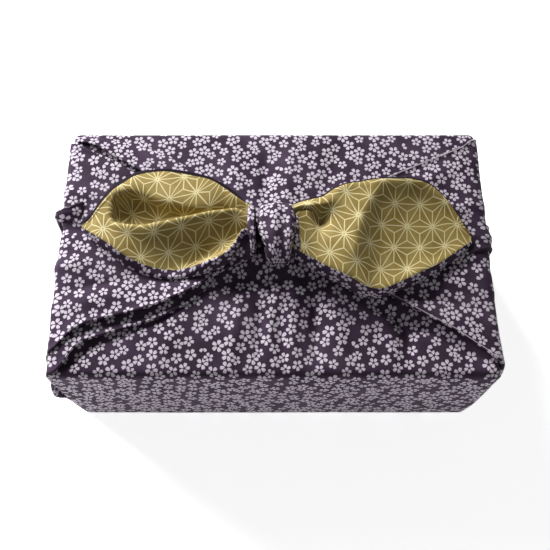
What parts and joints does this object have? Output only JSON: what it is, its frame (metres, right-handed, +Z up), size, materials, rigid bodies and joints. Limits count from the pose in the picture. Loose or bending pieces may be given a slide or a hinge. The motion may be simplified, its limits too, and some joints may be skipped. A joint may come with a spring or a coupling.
{
  "type": "furoshiki wrap",
  "caption": "Square printed cloth folded round a flat box and tied in a square knot on top, with its free ends spread like petals to show the reverse.",
  "frame": {"origin": "middle of the base, on the surface it rests on", "axes": "+X along the box's long side, to the right as seen from the front; +Y to the back; +Z up"},
  "size_m": [0.3134, 0.191, 0.1521],
  "materials": {
    "plum_print": "matte printed cotton, dark plum with small off-white blossoms",
    "gold_print": "matte printed cotton, olive gold with a cream hemp-leaf lattice"
  },
  "bodies": {
    "root": {"furoshiki": "plum_print"}
  },
  "joints": []
}
